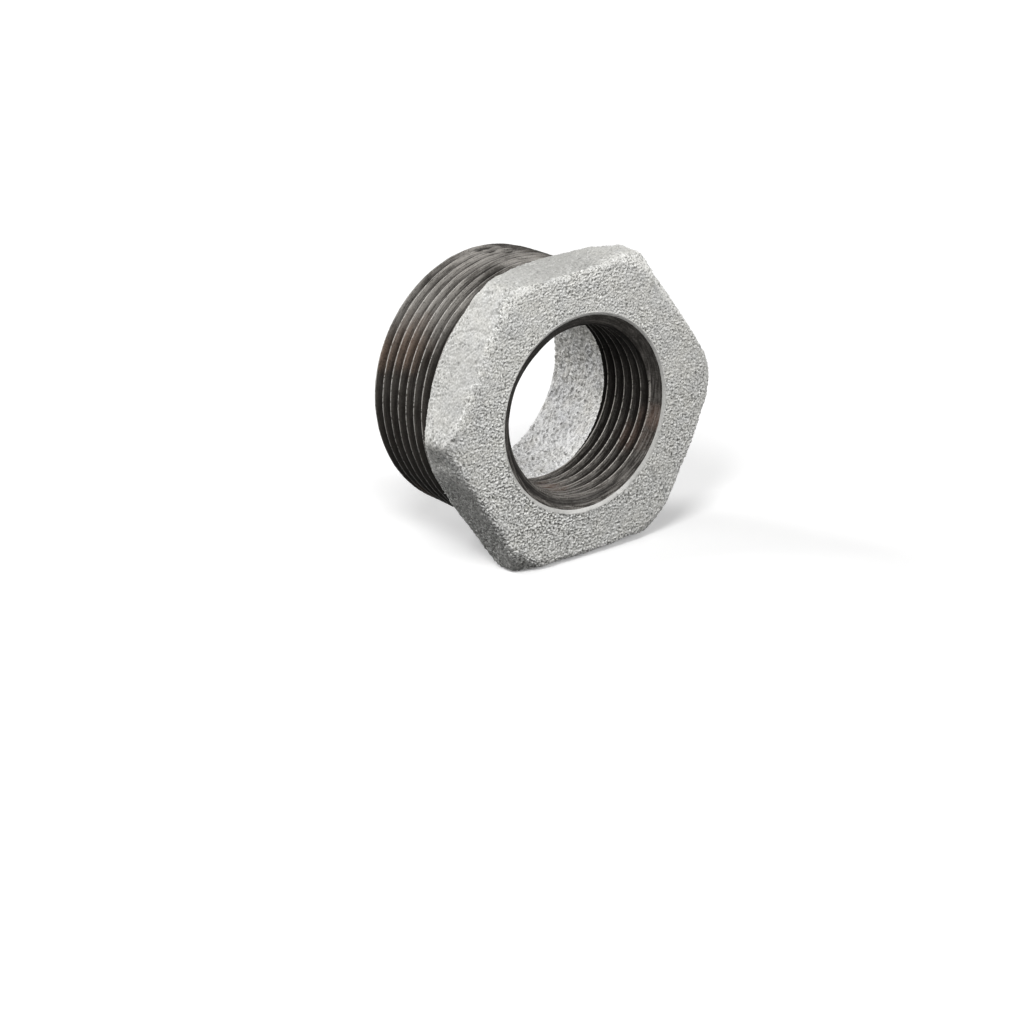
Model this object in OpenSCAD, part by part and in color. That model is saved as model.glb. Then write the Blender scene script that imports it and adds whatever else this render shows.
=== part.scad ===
// Hexagon reducing bush, 1 1/2 male thread to 1 inch female thread, in one cast piece.
// It lies on a flat of its hexagon. The bore runs along Y: the hexagon's face looks to -Y
// and the male thread points to +Y. The origin is on the bore's axis, halfway along it.

/* [Hexagon] */
// width across the flats
hex_across_flats = 51.5; // [50:0.5:56]
// length of a flat along the bore, at its middle
hex_length = 12; // [10:0.5:16]
// rounding of the six cast corners
hex_corner_r = 2; // [1.8:0.1:4]
// rounding of the edge around the face
hex_face_edge_r = 1.2; // [0.6:0.1:1.6]
// slope of the chamfer in front of the corners, degrees from the bore's axis
hex_front_angle = 45; // [40:1:55]
// distance from a flat out to where the chamfer in front meets the face
hex_front_w = 1.55; // [1:0.05:2.2]
// width of the facet that breaks the edge between the face and that chamfer
hex_front_soft = 0.9; // [0.3:0.1:1.2]
// slope of the chamfer behind the corners, degrees from the bore's axis
hex_back_angle = 45; // [40:1:60]
// distance from the middle of a flat in to the rim of the back face
hex_back_step = 0.65; // [0.2:0.05:1]

/* [Male thread] */
// whole length, from the hexagon's face to the end of the thread
body_length = 31; // [29:0.5:40]
// thread diameter over the crests at the gauge plane
male_major_d = 47.803; // [47:0.001:48.5]
// distance of the gauge plane from the thread's end
male_gauge_l = 12.7; // [10:0.1:15]
// growth of the thread's diameter for each millimetre along it
male_taper = 0.0625; // [0:0.0005:0.07]
// distance from the thread's end to the middle of its first full crest
male_lead_in = 1.65; // [1.4:0.05:2.4]
// distance kept between the hexagon and the last crest
male_neck_l = 0.9; // [0.8:0.1:2]

/* [Female thread] */
// thread diameter over the crests, which is the bore that a pipe screws into
female_minor_d = 30.291; // [30:0.001:30.6]
// distance from the hexagon's face to the end of the last crest
female_thread_l = 14.4; // [12:0.1:17]
// width of the turned countersink, from the thread's root out to the mouth
countersink_w = 0.88; // [0.6:0.02:1.6]
// full angle of the countersink
countersink_angle = 90; // [70:5:120]
// width of the narrow bevel around the mouth
mouth_lip_w = 0.8; // [0.4:0.1:1.2]
// depth of the narrow bevel around the mouth
mouth_lip_h = 0.35; // [0.2:0.05:0.5]

/* [Thread form] */
// distance from crest to crest
thread_pitch = 2.309; // [1.8:0.001:2.5]
// height of a ridge from root to crest
thread_depth = 1.479; // [1.1:0.001:1.5]
// angle between the two sides of a ridge
thread_angle = 55; // [50:1:60]

/* [Cored bore] */
// distance of the cast bore's wall outside the root of the female thread
core_gap = 0.38; // [0.3:0.02:0.8]
// draft of the cast bore: what its radius grows by towards the thread's end
core_draft = 0.3; // [0:0.1:1]
// length of the slope from the last root to the cast bore
core_shoulder = 0.4; // [0.2:0.1:1]
// bevel of the cast bore's rim at the thread's end
core_rim = 0.5; // [0.2:0.1:0.8]

/* [Part] */
// the piece to draw

/* [Hidden] */
$fn = 96;
rim_steps = 4;
beyond = 1;
rim_gap = 0.2;

flat_r = hex_across_flats / 2;
corner_at = (flat_r - hex_corner_r) / cos(30);
hex_front_r = flat_r + hex_front_w;
hex_back_r = flat_r - hex_back_step;
// the rough hexagon runs past the face that is turned behind it
hex_reach = hex_length + beyond;

// half of the flat strip on a crest or in a root, and the length of a ridge's side
flank = thread_depth * tan(thread_angle / 2);
land = (thread_pitch - 2 * flank) / 4;

male_end_r = (male_major_d - male_gauge_l * male_taper) / 2;
male_first = body_length - male_lead_in;
male_room = male_first - land - male_neck_l - hex_length;
male_ridges = floor(male_room / thread_pitch) + 1;

female_crest_r = female_minor_d / 2;
female_root_r = female_crest_r + thread_depth;
mouth_r = female_root_r + countersink_w;
countersink_l = countersink_w / tan(countersink_angle / 2);
female_last = female_thread_l - land;
female_room = female_last - land - flank - mouth_lip_h - countersink_l;
female_ridges = floor(female_room / thread_pitch) + 1;
core_r = female_root_r + core_gap;
core_end_r = core_r + core_draft;
core_from = female_thread_l + flank + core_shoulder;

// radius over the male crests at a distance y from the hexagon's face
function male_r(y) = male_end_r + (body_length - y) * male_taper / 2;

// a ridge's section as [radius, distance from the face], with its crest around y
function ridge(y, root, crest) = [
    [root, y - land - flank],
    [crest, y - land],
    [crest, y + land],
    [root, y + land + flank]
];

// a thread's section: ridges one pitch apart, the last one at y
function male_section(y) = [
    for (i = [male_ridges - 1 : -1 : 0])
        let (at = y - i * thread_pitch)
        each ridge(at, male_r(at) - thread_depth, male_r(at))
];

function female_section(y) = [
    for (i = [female_ridges - 1 : -1 : 0])
        each ridge(y - i * thread_pitch, female_root_r, female_crest_r)
];

// the hexagon's section at a flat or a corner, with the edge at the face rounded
function face_edge(outer) = [
    for (i = [0 : rim_steps])
        let (a = 90 * i / rim_steps)
        [outer - hex_face_edge_r * (1 - sin(a)), hex_face_edge_r * (1 - cos(a))]
];

// turns a section of [radius, distance from the face] about the bore's axis
module turned(section) {
    rotate([-90, 0, 0])
        rotate_extrude()
            polygon(section);
}

// the metal from one flat to the flat opposite, as long as the straight part of a flat
module flat_pair() {
    side = face_edge(flat_r);
    rotate([90, 0, 90])
        linear_extrude(height = corner_at, center = true)
            polygon(concat(
                side,
                [[flat_r, hex_reach], [-flat_r, hex_reach]],
                [for (i = [rim_steps : -1 : 0]) [-side[i][0], side[i][1]]]
            ));
}

module rounded_corner() {
    rotate_extrude()
        polygon(concat(
            [[0, 0]],
            face_edge(hex_corner_r),
            [[hex_corner_r, hex_reach], [0, hex_reach]]
        ));
}

module hexagon() {
    rotate([-90, 0, 0])
        union() {
            for (i = [0 : 2])
                rotate([0, 0, 60 * i])
                    flat_pair();
            for (i = [0 : 5])
                rotate([0, 0, 60 * i])
                    translate([corner_at, 0, 0])
                        rounded_corner();
        }
}

// the round body that the hexagon keeps within: it takes the corners off in front and behind
module corner_chamfers() {
    outer_r = corner_at + hex_corner_r + rim_gap;
    soft_y = hex_front_soft * cos(hex_front_angle);
    soft_r = hex_front_soft * (1 + sin(hex_front_angle));
    turned([
        [0, -beyond],
        [hex_front_r - hex_front_soft - beyond * soft_r / soft_y, -beyond],
        [hex_front_r - hex_front_soft + soft_r, soft_y],
        [outer_r, (outer_r - hex_front_r) / tan(hex_front_angle)],
        [outer_r, hex_length - (outer_r - hex_back_r) / tan(hex_back_angle)],
        [hex_back_r, hex_length],
        [0, hex_length]
    ]);
}

module male_thread() {
    shoulder_r = male_r(male_first - (male_ridges - 1) * thread_pitch) - thread_depth;
    turned(concat(
        [[0, hex_length - beyond], [shoulder_r, hex_length - beyond]],
        male_section(male_first),
        [[male_end_r - thread_depth, body_length], [0, body_length]]
    ));
}

// all that is cut or cored out: mouth, countersink, female thread and cast bore
module bore() {
    lip_slope = mouth_lip_w / mouth_lip_h;
    turned(concat(
        [[0, -beyond]],
        [[mouth_r + mouth_lip_w + beyond * lip_slope, -beyond]],
        [[mouth_r, mouth_lip_h]],
        [[female_root_r, mouth_lip_h + countersink_l]],
        female_section(female_last),
        [[core_r, core_from]],
        [[core_end_r, body_length - core_rim]],
        [[core_end_r + core_rim + beyond, body_length + beyond], [0, body_length + beyond]]
    ));
}

module hex_bushing() {
    color("#B9BBBB")
        translate([0, -body_length / 2, 0])
            difference() {
                union() {
                    intersection() {
                        hexagon();
                        corner_chamfers();
                    }
                    male_thread();
                }
                bore();
            }
}

hex_bushing();
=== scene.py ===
"""Dresses the hexagon reducing bush: true helical threads, cast zinc skin, lights, floor and camera.

Lengths are in millimetres up to the point where a mesh is made. Places along the bore are given as
y, the distance from the hexagon's face, and angles about the bore run from +X towards +Z.
A side of the bush is written as the angle that it faces and how far round it reaches, in degrees.
A layer of noise is written as the distance between its bumps, in mm, and its seed.
The floor, the lamps and the camera are placed in metres.
"""
import math

import bmesh
import bpy
import numpy as np
from mathutils import Matrix, Vector, noise

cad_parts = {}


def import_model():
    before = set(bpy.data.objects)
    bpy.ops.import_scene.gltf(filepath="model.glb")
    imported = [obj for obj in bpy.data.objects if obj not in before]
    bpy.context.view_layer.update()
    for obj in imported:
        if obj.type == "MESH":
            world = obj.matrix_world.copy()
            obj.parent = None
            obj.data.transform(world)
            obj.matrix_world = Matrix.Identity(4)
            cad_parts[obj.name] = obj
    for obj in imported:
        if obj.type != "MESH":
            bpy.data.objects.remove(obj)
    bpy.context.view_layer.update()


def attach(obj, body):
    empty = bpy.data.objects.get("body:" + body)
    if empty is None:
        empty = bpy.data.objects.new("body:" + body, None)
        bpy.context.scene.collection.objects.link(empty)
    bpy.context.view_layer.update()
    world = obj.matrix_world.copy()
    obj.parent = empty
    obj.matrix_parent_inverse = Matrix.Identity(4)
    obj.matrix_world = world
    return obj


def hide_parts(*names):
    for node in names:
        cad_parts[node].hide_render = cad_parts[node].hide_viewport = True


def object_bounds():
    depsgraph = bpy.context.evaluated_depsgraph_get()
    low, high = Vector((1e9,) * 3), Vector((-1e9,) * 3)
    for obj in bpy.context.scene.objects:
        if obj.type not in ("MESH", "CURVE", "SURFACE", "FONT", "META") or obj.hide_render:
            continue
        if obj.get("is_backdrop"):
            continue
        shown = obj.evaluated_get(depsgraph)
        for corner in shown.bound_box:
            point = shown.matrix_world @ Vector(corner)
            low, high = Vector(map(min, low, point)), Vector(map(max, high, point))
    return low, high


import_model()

MM = 0.001
TURN = 2 * math.pi

# the sizes of the part's source, to a hundredth of a millimetre
BODY_LENGTH = 31.0
HEX_LENGTH = 12.0
HEX_FRONT_R = 27.3
HEX_BACK_R = 25.1
PITCH = 2.309
DEPTH = 1.479
MALE_END_R = 23.505
MALE_TAPER = 0.0625
FEMALE_CREST_R = 15.1455
MOUTH_R = 17.5
LIP_W = 0.8
LIP_H = 0.35
THREAD_END = 14.4
CORE_FROM = 15.57
CORE_R = 17.0
CORE_END_R = 17.3
CORE_RIM = 0.5
# half the angle between the two flanks of a thread
FLANK_ANGLE = math.radians(27.5)

# what only the dressed part has: rounded crests and roots, sharper edges and a steeper countersink
ROUNDING = 0.317
FACE_EDGE_R = 0.9
CORNER_EDGE_R = 0.75
COUNTERSINK_SLOPE = 2.9

# where a crest of each thread crosses the +X side
MALE_CREST_Y = 28.19
FEMALE_CREST_Y = 8.03

# where the male thread rises out of its neck, how steep its lead-in is, and a radius inside its roots
RUN_OUT_Y = (12.3, 13.4)
LEAD_IN_SLOPE = 1.05
UNDER_THREAD_R = 22.3

# how far each flat of the casting lies from the axis, by the angle that it faces; 25.75 in the source
FLATS = {30: 25.95, 90: 25.5, 150: 25.55, 210: 25.65, 270: 25.95, 330: 26.1}
# how widely two flats are blended into a corner
CORNER_SOFT = 1.2
# where the casting stands further out or further in than its flats, by angle and in mm
UNEVEN = {53: -0.7, 65: 0.5, 71: 0.35, 195: 0.55, 240: 0.7, 290: -0.75, 309: -0.3, 351: -0.4}
UNEVEN_REACH = 6

# sides of the bush; left and right are those of the photograph
LOWER_LEFT = (235, 48)
FULL_CORNER = (44, 13)
# painted highlight along the edge of the face on this side
HIGHLIGHT_EDGE = (45, 24)
NARROWEST_LIP = (175, 50)
NARROWER_LIP = (25, 60)
SHADED_LIP = (312, 45)
# crest lines worn and painted as glints, brightest on these sides
WORN_AND_GLINTING_OUTSIDE = (165, 48)
WORN_AND_GLINTING_INSIDE = (325, 48)
# painted sheen on the crests on this side
SHEEN_SIDE = (133, 13)
# painted shade on the lower side of the male thread
SHADED_THREAD_SIDE = (220, 42)
# painted light on the lower side of the female thread and its countersink
PAINTED_LIGHT_THREAD = (270, 48)
PAINTED_LIGHT_CONE = (275, 65)
# the sides whose flats are painted darker as shade, and by how much
SHADED_FLATS = {(150, 28): 0.36, (90, 26): 0.75, (222, 30): 0.75}

# between these places the sandy skin of the face gives way to the smoother flats, and their tone begins
SAND_END_Y = (0.7, 2.0)
TONE_START_Y = (0.8, 2.0)
# the lumps and swells of the flats rise between the first two places and fall between the last two
FLAT_START_Y = (0.5, 2.0)
FLAT_END_Y = (8.5, 11.5)

# heights and depths of the cast skin
GRAIN_H = 0.17
CORE_GRAIN_H = 0.22
LIP_GRAIN_H = 0.09
DENT_DEPTH = 0.18
CREASE_DEPTH = 0.10
SKIN_DEPTH = 0.05

# layers of noise
PEBBLES = (0.36, 1)
WORMS = (0.50, 2)
GRIT = (0.24, 3)
FLAT_WANDER = (9, 4)
EDGE_WANDER = (7, 5)
LUMPS = (4.5, 6)
SWELLS = (1.7, 7)
SAND_LIMIT = (1.6, 8)
DENTS = (1.25, 9)
PATCHINESS = (7, 10)
TOOL_MARKS = (0.5, 11)
THREAD_WANDER = (3.0, 12)
LONG_STREAKS = (1.2, 13)
SHORT_STREAKS = (0.4, 14)
CREASES = (5.0, 15)
RIM_WAVES = (4.5, 21)
RIM_NICKS = (1.6, 22)
BORE_TOOL_MARKS = (0.5, 23)
CORE_LUMPS = (1.5, 24)
CORE_WAVES = (5.0, 26)
ZINC_LIMIT = (1.8, 27)
CORE_STAINS = (2.6, 28)
STAINS = (2.6, 31)

# where the cut iron has browned: angle and y of each patch, and its size in mm
MALE_RUST = ((149, 23.5, 4.8), (157, 29, 3.2), (62, 17, 3.0), (12, 24, 3.4), (285, 20, 3.2),
             (228, 27, 2.5))
FEMALE_RUST = ((328, 4, 3.0), (342, 1.5, 2.0), (262, 8, 2.5), (120, 6, 3.5), (200, 10, 3.0))
# where it is paler, in the same way: dry patches and a painted sheen on the upper side
MALE_PALER = ((133, 27, 6), (128, 21, 7), (124, 17, 4), (110, 25, 5), (94, 26, 6), (86, 17, 6),
            (350, 22, 7), (40, 27, 5))
# how dry the flat end behind the male thread is, where 1 is dry
END_DRY = 0.4
# the radius at which the patches and streaks of each thread are laid out
MALE_PATCH_R = 23.5
FEMALE_PATCH_R = 16.0

# short torn marks in the crests near the top, as (angle, turns from the end, reach in degrees)
TORN = ((79, 1.0, 2.6), (83, 1.9, 2.2), (88, 1.0, 2.6), (90, 2.0, 2.0), (85, 3.0, 2.2), (92, 1.0, 1.8),
        (79, 2.9, 2.0), (77, 2.0, 1.8))
TORN_DEPTH = 0.4

# rows and columns of the meshes
HEX_COLUMNS = 1080
FACE_ROWS = 76
EDGE_ROWS = 16
SIDE_ROWS = 74
BACK_ROWS = 8
MALE_COLUMNS = 620
END_ROWS = 9
BORE_COLUMNS = 470
LIP_ROWS = 8
CORE_ROWS = 80
# places of the rows between a crest of a thread and its next root, in pitches
ROWS_TO_ROOT = (0, 0.045, 0.09, 0.125, 0.19, 0.26, 0.33, 0.39, 0.44, 0.5)


# numbers and noise

def smoothstep(low, high, value):
    """0 up to low, 1 from high on, and a smooth rise between them."""
    t = np.clip((value - low) / (high - low), 0, 1)
    return t * t * (3 - 2 * t)


def soft_min(a, b, width):
    """The smaller of a and b, rounded off where they meet."""
    h = np.clip(0.5 + 0.5 * (b - a) / width, 0, 1)
    return b + (a - b) * h - width * h * (1 - h)


def noise_at(points, layer, size=1.0):
    """A layer's smooth noise of about -1 to 1 at points in mm, with its bumps made larger by size."""
    wavelength, seed = layer
    flat = points.reshape(-1, 3) / (wavelength * size) + np.array([seed * 17.3, seed * 5.1, seed * 9.7])
    values = [noise.noise(p) for p in flat.tolist()]
    return np.array(values).reshape(points.shape[:-1]) * 1.6


def angle_between(a, b):
    """Difference of two angles in radians, from -pi to pi."""
    return (a - b + math.pi) % TURN - math.pi


def bump_at(theta, side):
    """A soft bump: 1 in the middle of a side of the bush, and 0 well away from it."""
    centre, reach = side
    return np.exp(-(angle_between(theta, math.radians(centre)) / math.radians(reach)) ** 2)


def around(theta, y, r):
    """Points in mm, in the part's frame, from angle, distance from the face and radius."""
    theta, y, r = np.broadcast_arrays(theta, y, r)
    return np.stack([r * np.cos(theta), y - BODY_LENGTH / 2, r * np.sin(theta)], axis=-1)


# forms

def hexagon_radius(theta):
    """Radius of the cast hexagon with its soft corners, before they are chamfered."""
    radius = np.full_like(theta, 2 * HEX_FRONT_R)
    for facing, distance in FLATS.items():
        away = angle_between(theta, math.radians(facing))
        radius = soft_min(radius, distance / np.maximum(np.cos(away), 0.4), CORNER_SOFT)
    for angle, height in UNEVEN.items():
        radius = radius + height * bump_at(theta, (angle, UNEVEN_REACH))
    return radius


def below_crest(distance):
    """Depth of a thread with rounded crests and roots, at a distance along the bore from its crest."""
    arc = ROUNDING * math.cos(FLANK_ANGLE)
    half = PITCH / 2
    arc_depth = ROUNDING * (1 - math.sin(FLANK_ANGLE))
    d = np.abs(distance)
    crest = ROUNDING - np.sqrt(np.maximum(ROUNDING ** 2 - np.minimum(d, arc) ** 2, 0))
    side = arc_depth + (d - arc) / math.tan(FLANK_ANGLE)
    to_root = np.maximum(half - d, 0)
    root = DEPTH - ROUNDING + np.sqrt(np.maximum(ROUNDING ** 2 - np.minimum(to_root, arc) ** 2, 0))
    return np.where(d < arc, crest, np.where(d > half - arc, root, side))


def crest_distance(theta, y, crest_y):
    """Distance along the bore from the nearest crest of a right-handed thread."""
    turns = (y - crest_y) / PITCH + theta / TURN
    return (turns - np.round(turns)) * PITCH


def thread_rows(theta, crest_y, start, end):
    """Distances from the face, by angle: rows that follow the helix, held within start and end."""
    steps = list(ROWS_TO_ROOT) + [1 - step for step in ROWS_TO_ROOT[-2:0:-1]]
    first = math.floor((start - crest_y) / PITCH) - 1
    last = math.ceil((end - crest_y) / PITCH) + 2
    turns = np.array([i + step for i in range(first, last) for step in steps])
    return np.clip(crest_y + (turns[:, None] - theta / TURN) * PITCH, start, end)


def cast_grain(points, size=1.0):
    """The sandy skin as numbers of about -1 to 1: small pebbles, some run together into short worms."""
    pebbles = noise_at(points, PEBBLES, size)
    worms = 1 - 2.6 * np.abs(noise_at(points, WORMS, size))
    grit = noise_at(points, GRIT, size)
    return np.clip(0.75 * pebbles + 0.35 * worms + 0.35 * grit, -1.2, 1.2)


# meshes

def grid_normals(points):
    """Unit normals of a grid of points that closes on itself along its columns."""
    along = np.gradient(points, axis=0)
    across = np.roll(points, -1, axis=1) - np.roll(points, 1, axis=1)
    normals = np.cross(along, across)
    return normals / np.maximum(np.linalg.norm(normals, axis=-1, keepdims=True), 1e-9)


def closed(grid):
    """The grid with its first column again after its last."""
    return np.concatenate([grid, grid[:, :1]], axis=1)


def one_material(points):
    """The first material at every point."""
    return np.zeros(points.shape[:2])


def surface(name, points, materials, material_of, flip, looks):
    """A smooth piece from a grid of points in mm whose first and last columns lie together.

    looks holds a number for every point under each name that the materials read.
    """
    rows, columns = points.shape[:2]
    index = np.arange(rows * columns).reshape(rows, columns)
    quads = np.stack([index[:-1, :-1], index[:-1, 1:], index[1:, 1:], index[1:, :-1]], axis=-1)
    if flip:
        quads = quads[..., ::-1]
    which = material_of(points).reshape(rows, columns)[:-1, :-1].ravel()
    mesh = bpy.data.meshes.new(name)
    mesh.from_pydata((points.reshape(-1, 3) * MM).tolist(), [], quads.reshape(-1, 4).tolist())
    for material in materials:
        mesh.materials.append(material)
    mesh.polygons.foreach_set("material_index", which.astype(np.int32))
    for key, numbers in looks.items():
        layer = mesh.attributes.new(key, "FLOAT", "POINT")
        layer.data.foreach_set("value", np.ascontiguousarray(numbers, dtype=np.float32).ravel())
    weld = bmesh.new()
    weld.from_mesh(mesh)
    bmesh.ops.remove_doubles(weld, verts=weld.verts, dist=2e-6)
    for face in weld.faces:
        face.smooth = True
    weld.to_mesh(mesh)
    weld.free()
    piece = bpy.data.objects.new(name, mesh)
    bpy.context.scene.collection.objects.link(piece)
    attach(piece, "root")
    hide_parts("hex_bushing")


# hexagon head

def lip_width(theta):
    """Width of the bevel round the mouth, which narrows on two sides and nearly dies out on one."""
    return LIP_W * (0.85 - 0.5 * bump_at(theta, NARROWEST_LIP) - 0.35 * bump_at(theta, NARROWER_LIP))


def face_edge_radius(theta, hexagon):
    """Radius of the rounding between the face and the sides, which wanders as on a sand casting."""
    at_corner = smoothstep(HEX_FRONT_R - 0.6, HEX_FRONT_R + 0.6, hexagon)
    edge = FACE_EDGE_R + (CORNER_EDGE_R - FACE_EDGE_R) * at_corner
    wander = noise_at(around(theta, 0.0, HEX_FRONT_R), EDGE_WANDER)
    return edge * (1 + 0.3 * wander + 1.3 * bump_at(theta, FULL_CORNER))


def hexagon_profile(theta):
    """Rows of points over the head, from its mouth across the face and the sides to the thread."""
    hexagon = hexagon_radius(theta) + 0.1 * noise_at(around(theta, 0.0, HEX_FRONT_R), FLAT_WANDER)
    edge = face_edge_radius(theta, hexagon)

    def side(y):
        front = soft_min(hexagon, HEX_FRONT_R + y, 0.3)
        return soft_min(front, HEX_BACK_R + HEX_LENGTH - y, 0.5)

    inner_r = MOUTH_R + lip_width(theta)
    face_r = side(np.zeros_like(theta)) - edge
    rows = [around(theta, 0.0, inner_r + (face_r - inner_r) * t) for t in np.linspace(0, 1, FACE_ROWS)]
    for a in np.linspace(0, math.pi / 2, EDGE_ROWS + 1)[1:]:
        y = edge * (1 - math.cos(a))
        rows.append(around(theta, y, side(y) - edge * (1 - math.sin(a))))
    for t in np.linspace(0, 1, SIDE_ROWS + 1)[1:]:
        y = edge + (HEX_LENGTH - edge) * t
        rows.append(around(theta, y, side(y)))
    back_r = side(np.full_like(theta, HEX_LENGTH))
    for t in np.linspace(0, 1, BACK_ROWS + 1)[1:]:
        rows.append(around(theta, HEX_LENGTH, back_r + (UNDER_THREAD_R - back_r) * t))
    return np.array(rows)


def sandiness(theta, points, y):
    """1 where the skin is sandy, as on the face, nearly 1 at the lower left, and 0 where it is smooth."""
    at_corner = smoothstep(HEX_FRONT_R - 0.3, HEX_FRONT_R + 1.0, hexagon_radius(theta))
    ragged = y + 0.5 * noise_at(points, SAND_LIMIT) - 0.9 * at_corner
    return np.maximum(1 - smoothstep(*SAND_END_Y, ragged), 0.8 * bump_at(theta, LOWER_LEFT))


def skin_relief(theta, points, y, sandy):
    """The skin's height in mm, its grain as numbers of about -1 to 1, and its dents from 0 to 1."""
    coarseness = 0.62 + 0.38 * sandy + 0.2 * bump_at(theta, LOWER_LEFT)
    grain = cast_grain(points) * coarseness * (1 + 0.35 * noise_at(points, PATCHINESS))
    on_flat = (1 - sandy) * smoothstep(*FLAT_START_Y, y) * (1 - smoothstep(*FLAT_END_Y, y))
    lumps = noise_at(points, LUMPS) * (0.04 + 0.11 * on_flat)
    swells = noise_at(points, SWELLS) * (0.02 + 0.10 * on_flat)
    creases = smoothstep(0.7, 1.0, 1 - 2.5 * np.abs(noise_at(points, CREASES))) * on_flat
    near_edge = np.exp(-((y - 0.9) / 0.8) ** 2)
    dents = smoothstep(0.45, 0.85, noise_at(points, DENTS)) * near_edge
    hollows = DENT_DEPTH * dents + CREASE_DEPTH * creases + SKIN_DEPTH
    return GRAIN_H * grain + lumps + swells - hollows, grain, dents


def skin_shade(theta, y, grain, dents):
    """How far each point stands out of the grain, 0.5 being level; from it the zinc is painted darker in
    hollows and lighter on tops.
    """
    below = bump_at(theta, LOWER_LEFT)
    # painted shade and light of the grain, stronger at the lower left, and painted shade in the dents
    relief = 0.45 * grain * (1 + 0.7 * below) - 0.35 * dents
    # painted shade: the lower left is painted darker
    return 0.5 + relief - 0.18 * below * smoothstep(*TONE_START_Y, y)


def skin_tone(theta, points, y):
    """How light the zinc is painted: 0.5 is its own colour, 0 dark and 1 light, from stains and painted
    light and shade.
    """
    stains = 0.55 * bump_at(theta, LOWER_LEFT) * noise_at(points, STAINS)
    # painted shade: these flats are painted darker
    shade_on_flats = sum(amount * bump_at(theta, side) for side, amount in SHADED_FLATS.items())
    on_sides = smoothstep(*TONE_START_Y, y) * (stains - shade_on_flats)
    # painted highlight: the edge is painted lighter on one side
    on_edge = (1 - smoothstep(2.0, 3.5, y)) * smoothstep(0.02, 0.25, y)
    # painted light and shade: lighter towards the top and darker towards the bottom
    return 0.5 + 0.13 * np.sin(theta) + on_sides + 0.95 * on_edge * bump_at(theta, HIGHLIGHT_EDGE)


def hexagon_head(materials):
    """The cast head, as two pieces that meet in the rounding between the face and the sides."""
    theta = np.arange(HEX_COLUMNS) * TURN / HEX_COLUMNS
    points = hexagon_profile(theta)
    y = points[..., 1] + BODY_LENGTH / 2
    row = np.arange(len(points))[:, None]
    last_side = FACE_ROWS + EDGE_ROWS + SIDE_ROWS
    inside = smoothstep(0, 3, row) * (1 - smoothstep(last_side, len(points) - 1, row))

    sandy = sandiness(theta, points, y)
    height, grain, dents = skin_relief(theta, points, y, sandy)
    looks = {
        "grain": closed(skin_shade(theta, y, grain * inside, dents)),
        "tone_and_painted_light": closed(skin_tone(theta, points, y)),
        "sand": closed(sandy),
    }
    points = closed(points + grid_normals(points) * (height * inside)[..., None])
    seam = FACE_ROWS + EDGE_ROWS // 2
    for name, part in (("hexagon_face", slice(0, seam + 1)), ("hexagon_sides", slice(seam, None))):
        surface(name, points[part], materials, one_material, True,
                {key: numbers[part] for key, numbers in looks.items()})


# worn crests with painted glints, brown patches, and dry patches with painted sheen and light on the cut
# iron

def streaks(theta, y, radius):
    """Noise of about -1 to 1, drawn out along the thread."""
    squeezed = around(theta, y, radius / 3)
    return 0.8 * noise_at(squeezed, LONG_STREAKS) + 0.5 * noise_at(squeezed, SHORT_STREAKS)


def patches_at(theta, y, radius, patches):
    """1 within ragged patches on the thread and 0 outside them."""
    spot = around(theta, y, radius)
    ragged = streaks(theta, y, radius)
    inside = np.zeros(spot.shape[:-1])
    for angle, along, size in patches:
        centre = around(math.radians(angle), along, radius)
        away = np.linalg.norm(spot - centre, axis=-1) / size
        inside = np.maximum(inside, 1 - smoothstep(0.25, 1.5, away + 0.3 * ragged))
    return inside


def crest_wear_and_glint(theta, distance, brightest_side, least, width):
    """How bright a crest's line is, worn and painted as a glint: 1 on its middle, down to least away from
    its brightest side.
    """
    line = np.clip(1 - np.abs(distance) / width, 0, 1)
    return line * (least + (1 - least) * bump_at(theta, brightest_side))


# male thread

def torn(theta, y):
    """Depth of the torn marks, in mm."""
    depth = np.zeros(np.broadcast(theta, y).shape)
    for angle, turns, reach in TORN:
        crest_y = MALE_CREST_Y - (math.radians(angle) / TURN + turns - 1) * PITCH
        across = 1 - smoothstep(0.12, 0.36, np.abs(y - crest_y))
        depth = np.maximum(depth, TORN_DEPTH * across * bump_at(theta, (angle, reach)))
    return depth


def male_crest_radius(y):
    """Radius over the crests of the tapered thread."""
    return MALE_END_R + (BODY_LENGTH - y) * MALE_TAPER / 2


def male_radius(theta, y):
    """Radius of the male thread with its torn marks, its lead-in and its neck."""
    crest_r = male_crest_radius(y)
    profile = crest_r - below_crest(crest_distance(theta, y, MALE_CREST_Y)) - torn(theta, y)
    lead_in = MALE_END_R - DEPTH + (BODY_LENGTH - y) * LEAD_IN_SLOPE
    neck = crest_r - DEPTH
    return np.minimum(neck + (profile - neck) * smoothstep(*RUN_OUT_Y, y), lead_in)


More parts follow.
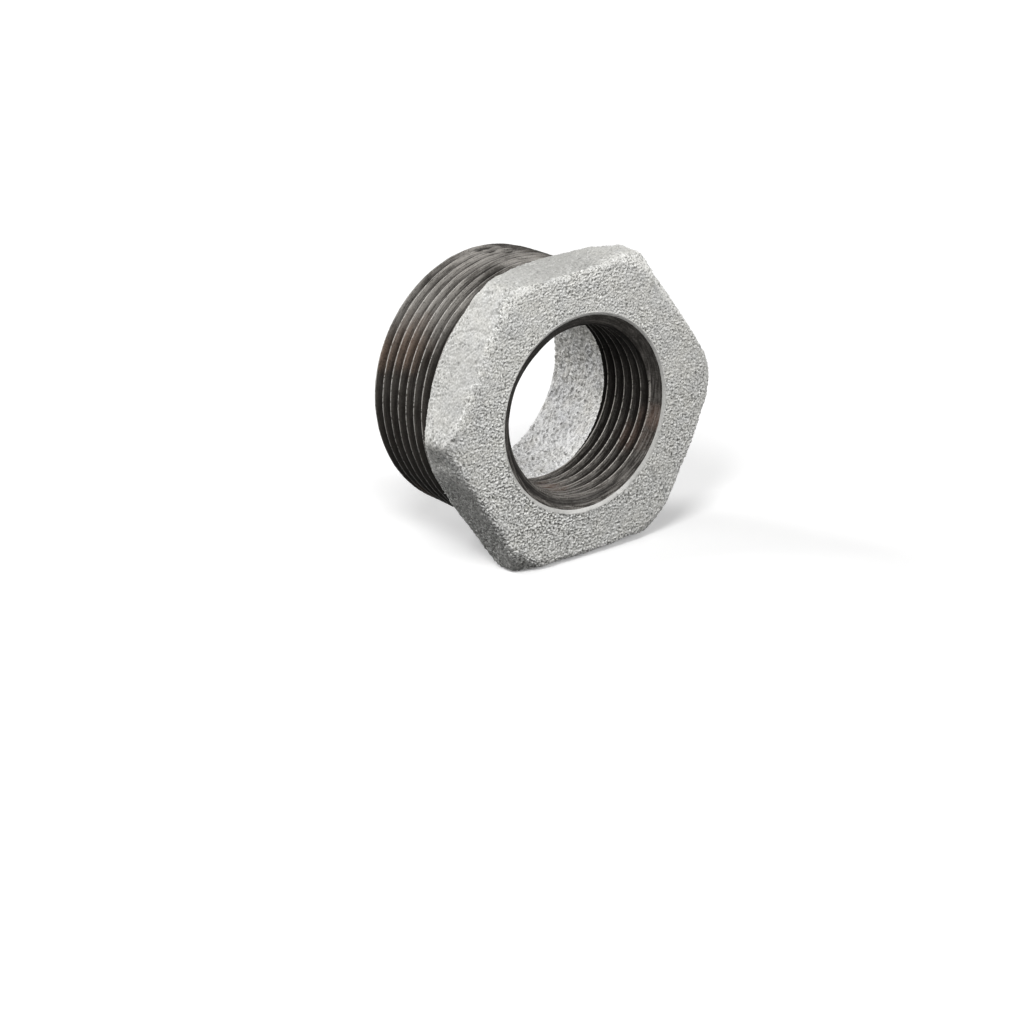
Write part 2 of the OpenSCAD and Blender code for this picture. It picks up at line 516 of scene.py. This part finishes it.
def male_looks(angle, y, r):
    """What the cut iron's material reads on the male thread."""
    below = male_crest_radius(y) - r
    marks = torn(angle, y)
    distance = crest_distance(angle, y, MALE_CREST_Y)
    # crest lines: worn and painted as glints
    crest_line = crest_wear_and_glint(angle, distance, WORN_AND_GLINTING_OUTSIDE, 0.06, 0.14) * (1 - smoothstep(0.05, 0.2, below))
    # painted sheen: wide bright crests on one side
    sheen = bump_at(angle, SHEEN_SIDE) * np.clip(0.5 + 0.5 * streaks(angle, y, MALE_PATCH_R), 0, 1)
    sheen = 0.5 * sheen * np.clip(1 - np.abs(distance) / 0.6, 0, 1)
    return {
        "wear_and_glint": np.maximum(crest_line, sheen),
        "rust": patches_at(angle, y, MALE_PATCH_R, MALE_RUST),
        "dry_and_painted_light": patches_at(angle, y, MALE_PATCH_R, MALE_PALER) * (1 - smoothstep(0.0, 0.15, marks)),
        # painted shade: the roots, the torn marks and the lower side are painted darker
        "depth": np.clip(below / DEPTH + 2.2 * marks + 0.5 * bump_at(angle, SHADED_THREAD_SIDE), 0, 1),
    }


def flat_end(theta, outer_r):
    """Rows of points over the flat end behind the male thread, from its outside in to the bore's rim."""
    inner_r = rear_rim_radius(theta)
    return np.array([around(theta, BODY_LENGTH, outer_r + (inner_r - outer_r) * t)
                     for t in np.linspace(0, 1, END_ROWS + 1)[1:]])


def male_thread(materials):
    """The helical male thread and the flat end behind it."""
    theta = np.arange(MALE_COLUMNS + 1) * TURN / MALE_COLUMNS
    y = thread_rows(theta, MALE_CREST_Y, HEX_LENGTH - 0.3, BODY_LENGTH)
    angle = np.broadcast_to(theta % TURN, y.shape)
    r = male_radius(angle, y)
    looks = male_looks(angle, y, r)
    spot = around(angle, y, r)
    r = r + 0.02 * noise_at(spot, TOOL_MARKS) + 0.03 * noise_at(spot, THREAD_WANDER)
    end = flat_end(theta, r[-1])
    none = np.zeros(end.shape[:2])
    on_end = {"wear_and_glint": none, "rust": none, "dry_and_painted_light": none + END_DRY, "depth": none}
    surface("male_thread", np.concatenate([around(angle, y, r), end]), materials, one_material, True,
            {key: np.concatenate([numbers, on_end[key]]) for key, numbers in looks.items()})


# bore

def rear_rim_radius(theta):
    """Radius of the bevelled rim at the thread's end, wavy where the core left it so."""
    spot = around(theta, BODY_LENGTH, CORE_END_R)
    return CORE_END_R + CORE_RIM + 0.16 * noise_at(spot, RIM_WAVES) + 0.07 * noise_at(spot, RIM_NICKS)


def bore_radius(theta, y):
    """Radius of the machined mouth and female thread."""
    thread_r = FEMALE_CREST_R + below_crest(crest_distance(theta, y, FEMALE_CREST_Y))
    countersink = MOUTH_R - COUNTERSINK_SLOPE * (y - LIP_H)
    thread_r = np.maximum(thread_r, countersink)
    run_out = smoothstep(THREAD_END - 0.1, CORE_FROM - 0.2, y)
    return thread_r + (CORE_R - thread_r) * run_out


def core_sand(spot, y):
    """Height of the sand core's print in the cast bore, in mm, and its grain from about -1 to 1."""
    grain = cast_grain(spot, 1.12)
    waves = 0.12 * noise_at(spot, CORE_WAVES) * smoothstep(CORE_FROM, CORE_FROM + 3, y)
    return CORE_GRAIN_H * grain + 0.05 * noise_at(spot, CORE_LUMPS) + waves, grain


def mouth_lip(theta):
    """The bevel round the mouth: its rows of points and its grain."""
    fall = np.linspace(0, 1, LIP_ROWS + 1)[:-1, None]
    points = around(theta, LIP_H * fall ** 1.4, MOUTH_R + lip_width(theta) * (1 - fall))
    grain = 0.8 * cast_grain(points) * smoothstep(0, 0.15, fall) * (1 - 0.75 * fall)
    points[..., 1] += LIP_GRAIN_H * grain
    return points, grain


def bore_looks(angle, y, r):
    """What the cut iron's material reads on the countersink and the female thread."""
    distance = crest_distance(angle, y, FEMALE_CREST_Y)
    above = r - FEMALE_CREST_R
    on_cone = smoothstep(0.0, 0.15, above - below_crest(distance)) * (1 - smoothstep(1.0, 1.6, y))
    # painted light: the lower side of the thread and the countersink are painted paler
    dry_and_painted_light = bump_at(angle, PAINTED_LIGHT_THREAD) * np.clip(0.85 + 0.3 * streaks(angle, y, FEMALE_PATCH_R), 0, 1)
    return {
        "wear_and_glint": crest_wear_and_glint(angle, distance, WORN_AND_GLINTING_INSIDE, 0.3, 0.13) * (1 - smoothstep(0.15, 0.5, above)),
        "rust": patches_at(angle, y, FEMALE_PATCH_R, FEMALE_RUST),
        "dry_and_painted_light": dry_and_painted_light + (0.05 + 0.60 * bump_at(angle, PAINTED_LIGHT_CONE) - dry_and_painted_light) * on_cone,
        # painted shade in the roots
        "depth": np.clip(above / DEPTH, 0, 1) * (1 - on_cone),
    }


def threaded_wall(theta):
    """The countersink, the female thread and its shoulder: rows of points, grain and looks."""
    y = thread_rows(theta, FEMALE_CREST_Y, LIP_H, CORE_FROM)
    angle = np.broadcast_to(theta % TURN, y.shape)
    r = bore_radius(angle, y)
    spot = around(angle, y, r)
    marks = 0.012 * noise_at(spot, BORE_TOOL_MARKS) * smoothstep(LIP_H, LIP_H + 0.5, y)
    sand, grain = core_sand(spot, y)
    sand = sand * smoothstep(THREAD_END - 0.4, CORE_FROM, y)
    return around(angle, y, r + marks + sand), grain, bore_looks(angle, y, r)


def cored_wall(theta):
    """The cast bore behind the thread, flared at its rim: its rows of points and its grain."""
    y = np.linspace(CORE_FROM, BODY_LENGTH, CORE_ROWS)[1:, None]
    smooth_r = CORE_R + (CORE_END_R - CORE_R) * (y - CORE_FROM) / (BODY_LENGTH - CORE_FROM)
    sand, grain = core_sand(around(theta, y, smooth_r), y)
    r = smooth_r + sand
    flare = smoothstep(BODY_LENGTH - CORE_RIM - 0.4, BODY_LENGTH, y)
    return around(theta, y, r + (rear_rim_radius(theta) - r) * flare), grain


def bore_material_of(points):
    """The lip's material, then the cut iron's up to a ragged line behind the thread, then the core's."""
    y = points[..., 1] + BODY_LENGTH / 2
    zinc_from = THREAD_END + 0.45 + 0.35 * noise_at(points, ZINC_LIMIT)
    return np.where(y < LIP_H - 1e-4, 0, np.where(y > zinc_from, 2, 1))


def bore(materials):
    """All that is cut or cored out: the lip, the countersink, the female thread and the cast bore."""
    theta = np.arange(BORE_COLUMNS + 1) * TURN / BORE_COLUMNS
    lip, lip_grain = mouth_lip(theta)
    wall, wall_grain, wall_looks = threaded_wall(theta)
    core, core_grain = cored_wall(theta)
    points = np.concatenate([lip, wall, core])
    before = np.zeros(lip.shape[:2])
    after = np.zeros(core.shape[:2])
    looks = {key: np.concatenate([before, numbers, after]) for key, numbers in wall_looks.items()}
    # grain numbers, from which the zinc is painted darker in the hollows and lighter on the tops
    looks["grain"] = 0.5 + np.concatenate([0.45 * lip_grain, 0.36 * wall_grain, 0.36 * core_grain])
    # painted light and shade: the cast bore is painted lighter at its bottom and darker at its top, over
    # stains
    looks["tone_and_painted_light"] = 0.5 - 0.3 * np.sin(theta) + 0.3 * noise_at(points, CORE_STAINS)
    # painted shade on one side of the lip
    looks["tone_and_painted_light"][:len(lip)] = 0.5 - 0.3 * bump_at(theta, SHADED_LIP)
    looks["sand"] = np.ones(points.shape[:2])
    surface("bore", points, materials, bore_material_of, False, looks)


# material nodes

# colours in the cast skin: painted shade in the grain's hollows, painted light on its tops, grit, and
# painted shade in pits
HOLLOW_SHADE = (0.15, 0.15, 0.14)
GRAIN_TOP_LIGHT = (0.90, 0.90, 0.88)
DARK_GRIT = (0.15, 0.15, 0.145)
BRIGHT_GRIT = (0.93, 0.93, 0.91)
PIT_SHADE = (0.05, 0.05, 0.048)
# how bright the darkest and lightest painted tones of the zinc are, as shares of its own colour, and the
# most that is shown
DARK_TONE_SHARE = 0.66
LIGHT_TONE_SHARE = 1.28
BRIGHTEST = 0.95

# colours in the cut iron
# painted sheen along the tool lines and in specks
SHINY_LINE = (0.30, 0.285, 0.265)
SHINY_SPECK = (0.34, 0.325, 0.30)
DARK_SPECK = (0.015, 0.014, 0.013)
DARK_LINE = (0.012, 0.011, 0.010)
# painted shade in the threads' roots
ROOT_SHADE = (0.010, 0.009, 0.008)
# about how many of the tool's lines lie in a pitch, and how often they break off in a turn
LINES_PER_PITCH = 22.0
LINES_PER_TURN = 34.0


class Surface:
    """A material under construction: a Principled shader and short calls that add nodes to it."""

    def __init__(self, name):
        self.material = bpy.data.materials.new(name)
        self.material.use_nodes = True
        self.tree = self.material.node_tree
        self.shader = self.tree.nodes["Principled BSDF"]
        self.place = self.node("ShaderNodeTexCoord").outputs["Object"]

    def node(self, kind, inputs=None, **settings):
        """A new node with its settings and its inputs, which are numbers, colours or sockets."""
        made = self.tree.nodes.new(kind)
        for name, value in settings.items():
            setattr(made, name, value)
        for name, value in (inputs or {}).items():
            self.put(made.inputs[name], value)
        return made

    def put(self, socket, value):
        """Links another node's socket to this one, or writes a plain value into it."""
        if isinstance(value, bpy.types.NodeSocket):
            self.tree.links.new(value, socket)
        else:
            socket.default_value = value

    def finish(self, inputs):
        """The material, once its shader's inputs are filled in."""
        for name, value in inputs.items():
            self.put(self.shader.inputs[name], value)
        return self.material

    def math(self, operation, a, b=0.0, c=0.0):
        """The result of a calculation on up to three numbers."""
        return self.node("ShaderNodeMath", {0: a, 1: b, 2: c}, operation=operation).outputs[0]

    def noise(self, size_mm, detail, roughness):
        """Cloudy noise from 0 to 1 with patches of a size."""
        inputs = {"Vector": self.place, "Scale": 1 / (size_mm * MM), "Detail": detail,
                  "Roughness": roughness}
        return self.node("ShaderNodeTexNoise", inputs).outputs["Fac"]

    def cells(self, size_mm):
        """Distance from the nearest of many scattered points, in cells of a size."""
        inputs = {"Vector": self.place, "Scale": 1 / (size_mm * MM)}
        return self.node("ShaderNodeTexVoronoi", inputs).outputs["Distance"]

    def remap(self, value, low, high, to_low=0.0, to_high=1.0, smooth=False):
        """The value carried from one range to another and held within it."""
        inputs = {"Value": value, "From Min": low, "From Max": high, "To Min": to_low, "To Max": to_high}
        kind = "SMOOTHSTEP" if smooth else "LINEAR"
        return self.node("ShaderNodeMapRange", inputs, interpolation_type=kind).outputs["Result"]

    def mix(self, factor, a, b):
        """Colour a where the factor is 0 and colour b where it is 1."""
        made = self.node("ShaderNodeMix", {"Factor": factor}, data_type="RGBA")
        colours = [socket for socket in made.inputs if socket.type == "RGBA"]
        self.put(colours[0], rgba(a))
        self.put(colours[1], rgba(b))
        return [socket for socket in made.outputs if socket.type == "RGBA"][0]

    def bump(self, height, depth_mm, strength, normal=None):
        """The surface's direction once a height is laid over it, or over an earlier bump."""
        inputs = {"Height": height, "Distance": depth_mm * MM, "Strength": strength}
        if normal is not None:
            inputs["Normal"] = normal
        return self.node("ShaderNodeBump", inputs).outputs["Normal"]

    def value(self, name):
        """A number that the mesh holds for each of its points."""
        return self.node("ShaderNodeAttribute", attribute_name=name).outputs["Fac"]

    def split(self):
        """The x, y and z of the point, in metres."""
        return self.node("ShaderNodeSeparateXYZ", {0: self.place}).outputs


def rgba(colour):
    """A colour's three numbers with full cover added, or the socket that gives the colour."""
    if isinstance(colour, bpy.types.NodeSocket):
        return colour
    return (*colour, 1.0)


def helix_turns(s, crest_y):
    """Turns of the thread at a point, whole on its crests, and turns about the bore."""
    x, y, z = s.split()
    angle = s.math("MULTIPLY", s.math("ARCTAN2", z, x), 1 / TURN)
    along = s.math("MULTIPLY_ADD", y, 1 / (PITCH * MM), (BODY_LENGTH / 2 - crest_y) / PITCH)
    return s.math("ADD", angle, along), angle


def end_rings(s):
    """Distance from the bore's axis on the thread's flat end, in pitches, and 0 everywhere else."""
    x, y, z = s.split()
    squared = s.math("ADD", s.math("MULTIPLY", x, x), s.math("MULTIPLY", z, z))
    on_end = s.math("GREATER_THAN", y, (BODY_LENGTH / 2 - 0.01) * MM)
    return s.math("MULTIPLY", on_end, s.math("DIVIDE", s.math("POWER", squared, 0.5), PITCH * MM))


def tool_lines(s, crest_y):
    """Noise from 0 to 1 in fine lines along the thread, and in rings on its flat end."""
    turns, angle = helix_turns(s, crest_y)
    across = s.math("MULTIPLY", s.math("ADD", turns, end_rings(s)), LINES_PER_PITCH)
    place = s.node("ShaderNodeCombineXYZ", {0: s.math("MULTIPLY", angle, LINES_PER_TURN), 1: across})
    inputs = {"Vector": place.outputs[0], "Scale": 1.0, "Detail": 3.0}
    return s.node("ShaderNodeTexNoise", inputs).outputs["Fac"]


def zinc(name, light, dark, warm, grain_depth, pits):
    """Hot-dipped zinc over sand-cast iron, painted darker in the hollows of the grain and lighter on its
    tops.
    """
    s = Surface(name)
    tone_and_painted_light = s.value("tone_and_painted_light")
    grain = s.value("grain")
    sand = s.value("sand")
    grit = s.noise(0.29, 2, 0.6)
    speck = s.remap(sand, 0.0, 1.0, 0.22, 0.7)
    pit = s.remap(s.cells(3.4), 0.035, 0.07, pits, 0.0, smooth=True)
    colour = s.mix(s.remap(s.noise(8, 3, 0.55), 0.3, 0.7), dark, light)
    colour = s.mix(s.remap(s.noise(3.0, 2, 0.5), 0.35, 0.7, 0.0, 0.5), colour, warm)
    # painted shade and light, and stains, from the tone numbers
    colour = s.mix(s.remap(tone_and_painted_light, 0.5, 0.0), colour, [DARK_TONE_SHARE * c for c in light])
    colour = s.mix(s.remap(tone_and_painted_light, 0.5, 1.0), colour, [min(BRIGHTEST, LIGHT_TONE_SHARE * c) for c in light])
    # painted shade in the grain's hollows and painted light on its tops
    colour = s.mix(s.remap(grain, 0.45, 0.12, 0.0, 0.85), colour, HOLLOW_SHADE)
    colour = s.mix(s.remap(grain, 0.58, 0.90, 0.0, 0.75), colour, GRAIN_TOP_LIGHT)
    colour = s.mix(s.math("MULTIPLY", speck, s.remap(grit, 0.45, 0.32)), colour, DARK_GRIT)
    colour = s.mix(s.math("MULTIPLY", speck, s.remap(grit, 0.55, 0.68)), colour, BRIGHT_GRIT)
    # painted shade in the pits
    colour = s.mix(pit, colour, PIT_SHADE)
    rough = s.bump(grit, grain_depth, s.remap(sand, 0.0, 1.0, 0.4, 1.0))
    return s.finish({
        "Base Color": colour,
        "Metallic": 0.05,
        "Specular IOR Level": 0.35,
        "Roughness": s.remap(grit, 0.3, 0.7, 0.70, 0.45),
        "Normal": s.bump(s.math("SUBTRACT", 1.0, pit), 0.15, 0.8, rough),
    })


def lip_zinc():
    """The narrow bevel round the mouth, smoothed by the tool before dipping."""
    s = Surface("lip_zinc")
    broad = s.remap(s.noise(5, 3, 0.6), 0.3, 0.7)
    colour = s.mix(broad, (0.44, 0.435, 0.415), (0.56, 0.555, 0.535))
    colour = s.mix(s.remap(s.value("tone_and_painted_light"), 0.6, 0.8), colour, (0.70, 0.69, 0.67))
    # painted shade in the hollows of the lip's grain
    colour = s.mix(s.remap(s.value("grain"), 0.46, 0.25, 0.0, 0.4), colour, (0.20, 0.195, 0.19))
    return s.finish({
        "Base Color": colour,
        "Metallic": 0.1,
        "Roughness": s.remap(s.noise(1.0, 2, 0.5), 0.3, 0.7, 0.42, 0.56),
        "Normal": s.bump(s.noise(0.5, 3, 0.6), 0.06, 0.8),
    })


def cut_iron(name, crest_y, crest_colour, base, light, paler_colour, brown, root_shade):
    """Iron bared by the threading tool: dark, oily and finely lined, with worn crests painted with
    glints, painted sheen and root shade.
    """
    s = Surface(name)
    dry_and_painted_light = s.value("dry_and_painted_light")
    lines = tool_lines(s, crest_y)
    speckle = s.noise(0.3, 3, 0.65)
    colour = s.mix(s.remap(s.noise(6, 3, 0.6), 0.35, 0.68), base, light)
    # paler where dry, and where painted sheen and light are
    colour = s.mix(s.math("MULTIPLY", dry_and_painted_light, s.remap(lines, 0.32, 0.6, 0.35, 1.0)), colour, paler_colour)
    browned = s.math("MULTIPLY", s.value("rust"), s.remap(speckle, 0.3, 0.7, 0.55, 1.0))
    colour = s.mix(browned, colour, brown)
    # painted sheen along the tool lines and in specks, strongest where painted light is
    shine = s.remap(dry_and_painted_light, 0.0, 0.6, 0.12, 0.6)
    colour = s.mix(s.math("MULTIPLY", shine, s.remap(lines, 0.45, 0.68)), colour, SHINY_LINE)
    colour = s.mix(s.math("MULTIPLY", shine, s.remap(speckle, 0.55, 0.72)), colour, SHINY_SPECK)
    colour = s.mix(s.remap(speckle, 0.46, 0.30, 0.0, 0.6), colour, DARK_SPECK)
    colour = s.mix(s.remap(lines, 0.48, 0.25, 0.0, 0.6), colour, DARK_LINE)
    # painted shade in the roots, torn marks and lower side, less where paler
    deep = s.remap(s.value("depth"), 0.2, 0.6, 0.0, root_shade)
    shade_in_roots = s.math("MULTIPLY", deep, s.remap(dry_and_painted_light, 0.3, 1.0, 1.0, 0.72))
    colour = s.mix(shade_in_roots, colour, ROOT_SHADE)
    broken = s.remap(s.noise(0.55, 2, 0.6), 0.36, 0.48)
    # the crests' lines of wear and painted glints
    colour = s.mix(s.math("MULTIPLY", s.value("wear_and_glint"), broken), colour, crest_colour)
    return s.finish({
        "Base Color": colour,
        "Metallic": 0.0,
        "Specular IOR Level": 0.05,
        "Roughness": s.remap(lines, 0.3, 0.7, 0.34, 0.5),
        "Normal": s.bump(lines, 0.04, 0.8, s.bump(speckle, 0.03, 0.7)),
    })


# stage

# half the floor's width in metres, and its grey for light that bounces and for what is seen
FLOOR_REACH = 6.0
BOUNCE_GREY = (0.08, 0.08, 0.08, 1)
SEEN_GREY = (0.92, 0.92, 0.92, 1)
# the floor's own white where it is seen: near the bush, far off, and the distances of both in metres
NEAR_WHITE = 0.22
FAR_WHITE = 1.0
NEAR = 0.15
FAR = 0.9


def seen_or_mirrored(tree):
    """1 for rays from the camera and for mirrored or refracted ones, 0 for light that bounces."""
    path = tree.nodes.new("ShaderNodeLightPath")
    total = path.outputs["Is Camera Ray"]
    for name in ("Is Glossy Ray", "Is Transmission Ray"):
        more = tree.nodes.new("ShaderNodeMath")
        more.operation = "MAXIMUM"
        tree.links.new(total, more.inputs[0])
        tree.links.new(path.outputs[name], more.inputs[1])
        total = more.outputs[0]
    return total


def whiter_far_away(tree):
    """The floor's own white where it is seen: little round the bush, full where the lamps don't reach."""
    place = tree.nodes.new("ShaderNodeNewGeometry")
    length = tree.nodes.new("ShaderNodeVectorMath")
    length.operation = "LENGTH"
    tree.links.new(place.outputs["Position"], length.inputs[0])
    white = tree.nodes.new("ShaderNodeMapRange")
    white.inputs["From Min"].default_value = NEAR
    white.inputs["From Max"].default_value = FAR
    white.inputs["To Min"].default_value = NEAR_WHITE
    white.inputs["To Max"].default_value = FAR_WHITE
    tree.links.new(length.outputs["Value"], white.inputs["Value"])
    return white.outputs["Result"]


def floor_diffuse(tree, seen):
    """What the floor sends back of the light on it: white to the camera, dark grey to the bush."""
    colour = tree.nodes.new("ShaderNodeMix")
    colour.data_type = "RGBA"
    tree.links.new(seen, colour.inputs["Factor"])
    greys = [socket for socket in colour.inputs if socket.type == "RGBA"]
    greys[0].default_value = BOUNCE_GREY
    greys[1].default_value = SEEN_GREY
    mixed = [socket for socket in colour.outputs if socket.type == "RGBA"][0]
    diffuse = tree.nodes.new("ShaderNodeBsdfDiffuse")
    tree.links.new(mixed, diffuse.inputs["Color"])
    return diffuse.outputs[0]


def floor_glow(tree, seen):
    """The floor's own white, for what is seen only."""
    strength = tree.nodes.new("ShaderNodeMath")
    strength.operation = "MULTIPLY"
    tree.links.new(seen, strength.inputs[0])
    tree.links.new(whiter_far_away(tree), strength.inputs[1])
    glow = tree.nodes.new("ShaderNodeEmission")
    tree.links.new(strength.outputs[0], glow.inputs["Strength"])
    return glow.outputs[0]


def floor_material():
    """A floor that looks white, and lights the bush from below like a dark grey one."""
    material = bpy.data.materials.new("pale_floor")
    material.use_nodes = True
    tree = material.node_tree
    tree.nodes.clear()
    seen = seen_or_mirrored(tree)
    both = tree.nodes.new("ShaderNodeAddShader")
    tree.links.new(floor_diffuse(tree, seen), both.inputs[0])
    tree.links.new(floor_glow(tree, seen), both.inputs[1])
    out = tree.nodes.new("ShaderNodeOutputMaterial")
    tree.links.new(both.outputs[0], out.inputs["Surface"])
    return material


def floor(height):
    """The floor that the bush lies on."""
    mesh = bpy.data.meshes.new("floor")
    bm = bmesh.new()
    bmesh.ops.create_grid(bm, x_segments=1, y_segments=1, size=FLOOR_REACH)
    bm.to_mesh(mesh)
    bm.free()
    made = bpy.data.objects.new("floor", mesh)
    made.location.z = height
    bpy.context.scene.collection.objects.link(made)
    mesh.materials.append(floor_material())
    made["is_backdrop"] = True


def world(ambient):
    """White where it is seen, and a soft even light from all round."""
    made = bpy.data.worlds.new("studio")
    bpy.context.scene.world = made
    made.use_nodes = True
    tree = made.node_tree
    background = tree.nodes["Background"]
    background.inputs["Color"].default_value = (1, 1, 1, 1)
    strength = tree.nodes.new("ShaderNodeMapRange")
    strength.inputs["To Min"].default_value = ambient
    strength.inputs["To Max"].default_value = 1.0
    tree.links.new(seen_or_mirrored(tree), strength.inputs["Value"])
    tree.links.new(strength.outputs["Result"], background.inputs["Strength"])


def softbox(name, direction, distance, size, level):
    """A square soft light that lights a white surface facing it to a level, where 1 is white."""
    lamp = bpy.data.lights.new(name, "AREA")
    lamp.shape = "SQUARE"
    lamp.size = size
    lamp.energy = level * (math.pi * distance) ** 2
    made = bpy.data.objects.new(name, lamp)
    towards = Vector(direction).normalized()
    made.location = towards * distance
    made.rotation_mode = "QUATERNION"
    made.rotation_quaternion = towards.to_track_quat("Z", "Y")
    bpy.context.scene.collection.objects.link(made)


def camera(lens, place, right, up, back):
    """The photograph's camera, from its lens, its place and the directions to its right, up and back."""
    data = bpy.data.cameras.new("camera")
    data.sensor_width = 36
    data.lens = lens
    data.clip_start = 0.05
    data.clip_end = 50
    made = bpy.data.objects.new("camera", data)
    turned = Matrix((right, up, back)).transposed().to_4x4()
    made.matrix_world = Matrix.Translation(place) @ turned
    bpy.context.scene.collection.objects.link(made)
    bpy.context.scene.camera = made


# the scene

bpy.context.scene.view_settings.view_transform = "Standard"
camera(lens=277.7, place=(-0.79389, -1.03737, 0.45708), right=(0.78721, -0.61558, -0.03677),
       up=(0.23956, 0.25032, 0.93806), back=(-0.56825, -0.74726, 0.34452))
world(ambient=0.14)
softbox("top", direction=(-0.52, -0.45, 0.725), distance=0.32, size=0.12, level=0.68)
softbox("front", direction=(0.50, -0.75, 0.43), distance=1.2, size=0.35, level=0.48)
softbox("back", direction=(-0.37, 0.79, 0.48), distance=1.2, size=0.5, level=0.78)

skin = zinc("cast_zinc", light=(0.59, 0.585, 0.56), dark=(0.51, 0.512, 0.505),
            warm=(0.61, 0.595, 0.535), grain_depth=0.12, pits=0.85)
cored = zinc("cored_zinc", light=(0.89, 0.875, 0.83), dark=(0.72, 0.73, 0.76),
             warm=(0.84, 0.81, 0.74), grain_depth=0.14, pits=0.3)
male_iron = cut_iron("cut_iron_outside", MALE_CREST_Y, crest_colour=(0.60, 0.58, 0.55),
                     base=(0.041, 0.036, 0.031), light=(0.086, 0.079, 0.071),
                     paler_colour=(0.37, 0.350, 0.324), brown=(0.23, 0.165, 0.126), root_shade=0.60)
bore_iron = cut_iron("cut_iron_inside", FEMALE_CREST_Y, crest_colour=(0.60, 0.57, 0.53),
                     base=(0.013, 0.012, 0.011), light=(0.028, 0.025, 0.022),
                     paler_colour=(0.17, 0.156, 0.142), brown=(0.13, 0.088, 0.070), root_shade=0.85)

hexagon_head([skin])
male_thread([male_iron])
bore([lip_zinc(), bore_iron, cored])

low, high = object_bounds()
floor(low[2] - 0.01 * MM)
